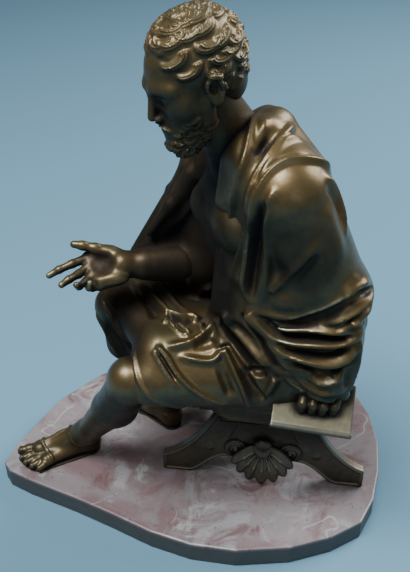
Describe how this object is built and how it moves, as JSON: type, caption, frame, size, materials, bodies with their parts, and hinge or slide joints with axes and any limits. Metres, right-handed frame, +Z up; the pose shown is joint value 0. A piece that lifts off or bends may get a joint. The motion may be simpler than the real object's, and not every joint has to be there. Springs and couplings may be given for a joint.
{
  "type": "seated bronze figure",
  "caption": "Classical bearded man in a wrapped cloak cast in bronze, seated and leaning forward, his right hand held out palm up and his left on a sheet, on a scrolled stool over an irregular marble slab.",
  "frame": {"origin": "on the underside of the marble slab, at the middle of the whole part's outline", "axes": "+Z up, the man's feet point to -X and his left side, with the sheet, is towards -Y"},
  "size_m": [0.272, 0.19, 0.3494],
  "materials": {
    "bronze": "satin",
    "stool_bronze": "satin",
    "marble": "satin"
  },
  "bodies": {
    "root": {"marble_slab": "marble", "stool": "stool_bronze", "figure": "bronze"}
  },
  "joints": []
}
